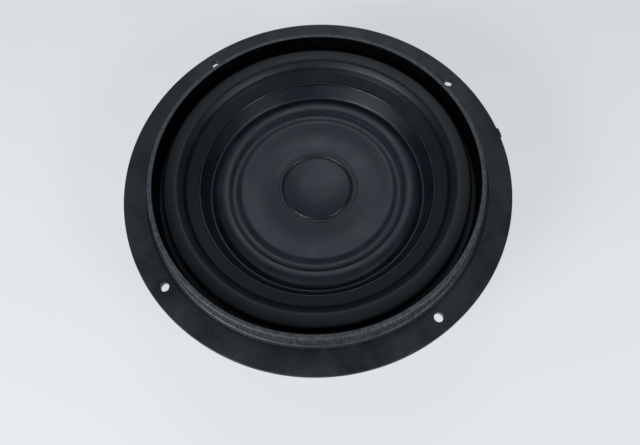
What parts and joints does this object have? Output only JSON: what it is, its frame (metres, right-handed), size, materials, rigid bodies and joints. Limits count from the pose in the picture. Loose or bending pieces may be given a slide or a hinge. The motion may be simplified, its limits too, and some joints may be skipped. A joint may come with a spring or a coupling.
{
  "type": "car subwoofer speaker",
  "caption": "Shallow round car woofer: moulded basket with a flat mounting flange and raised collar, rubber surround, ribbed cone, ferrite motor and push-on terminals.",
  "frame": {"origin": "centre of the magnet system's rear face, which the driver stands on", "axes": "+Z along the cone's travel, out towards the listener; the flange's screw holes lie at 45, 135, 225 and 315 degrees round +Z from +X, and the terminals at -135 degrees"},
  "size_m": [0.218, 0.218, 0.0785],
  "materials": {
    "basket_plastic": "glass-filled moulded plastic, satin, faintly mottled",
    "surround_rubber": "moulded nitrile rubber, satin",
    "cone_polypropylene": "moulded polypropylene, satin blue-black",
    "spider_cloth": "resin-treated woven cotton",
    "coil_former_laminate": "glass-fibre laminate",
    "coil_copper": "enamelled copper wire",
    "ferrite": "sintered and ground ferrite",
    "coated_steel": "black electrocoated steel",
    "zinc_steel": "zinc-plated steel",
    "tinned_brass": "tinned brass strip",
    "tinsel_braid": "braided tinsel wire",
    "gasket_foam": "closed-cell foam strip",
    "fibre_board": "pressed fibre board"
  },
  "bodies": {
    "frame": {"basket": "basket_plastic", "flange_gasket": "gasket_foam", "surround": "surround_rubber", "spider": "spider_cloth", "back_plate_and_pole": "coated_steel", "magnet": "ferrite", "top_plate": "coated_steel", "vent_screen": "zinc_steel", "motor_screw_1": "zinc_steel", "motor_screw_2": "zinc_steel", "motor_screw_3": "zinc_steel", "motor_screw_4": "zinc_steel", "terminal_board": "fibre_board", "terminal_screw": "zinc_steel", "terminal_blade_positive": "tinned_brass", "terminal_blade_negative": "tinned_brass", "tinsel_lead_positive": "tinsel_braid", "tinsel_lead_negative": "tinsel_braid"},
    "cone_assembly": {"diaphragm": "cone_polypropylene", "dust_cap": "cone_polypropylene", "coil_former": "coil_former_laminate", "voice_coil": "coil_copper", "lead_tab_positive": "tinned_brass", "lead_tab_negative": "tinned_brass"}
  },
  "joints": [
    {"name": "cone_travel", "type": "slide", "parent": "frame", "child": "cone_assembly", "axis": [0, 0, 1], "range_m": [-0.007, 0.007], "stiffness_N_per_m": 2500, "deforming": ["surround", "spider", "tinsel_lead_positive", "tinsel_lead_negative"]}
  ]
}
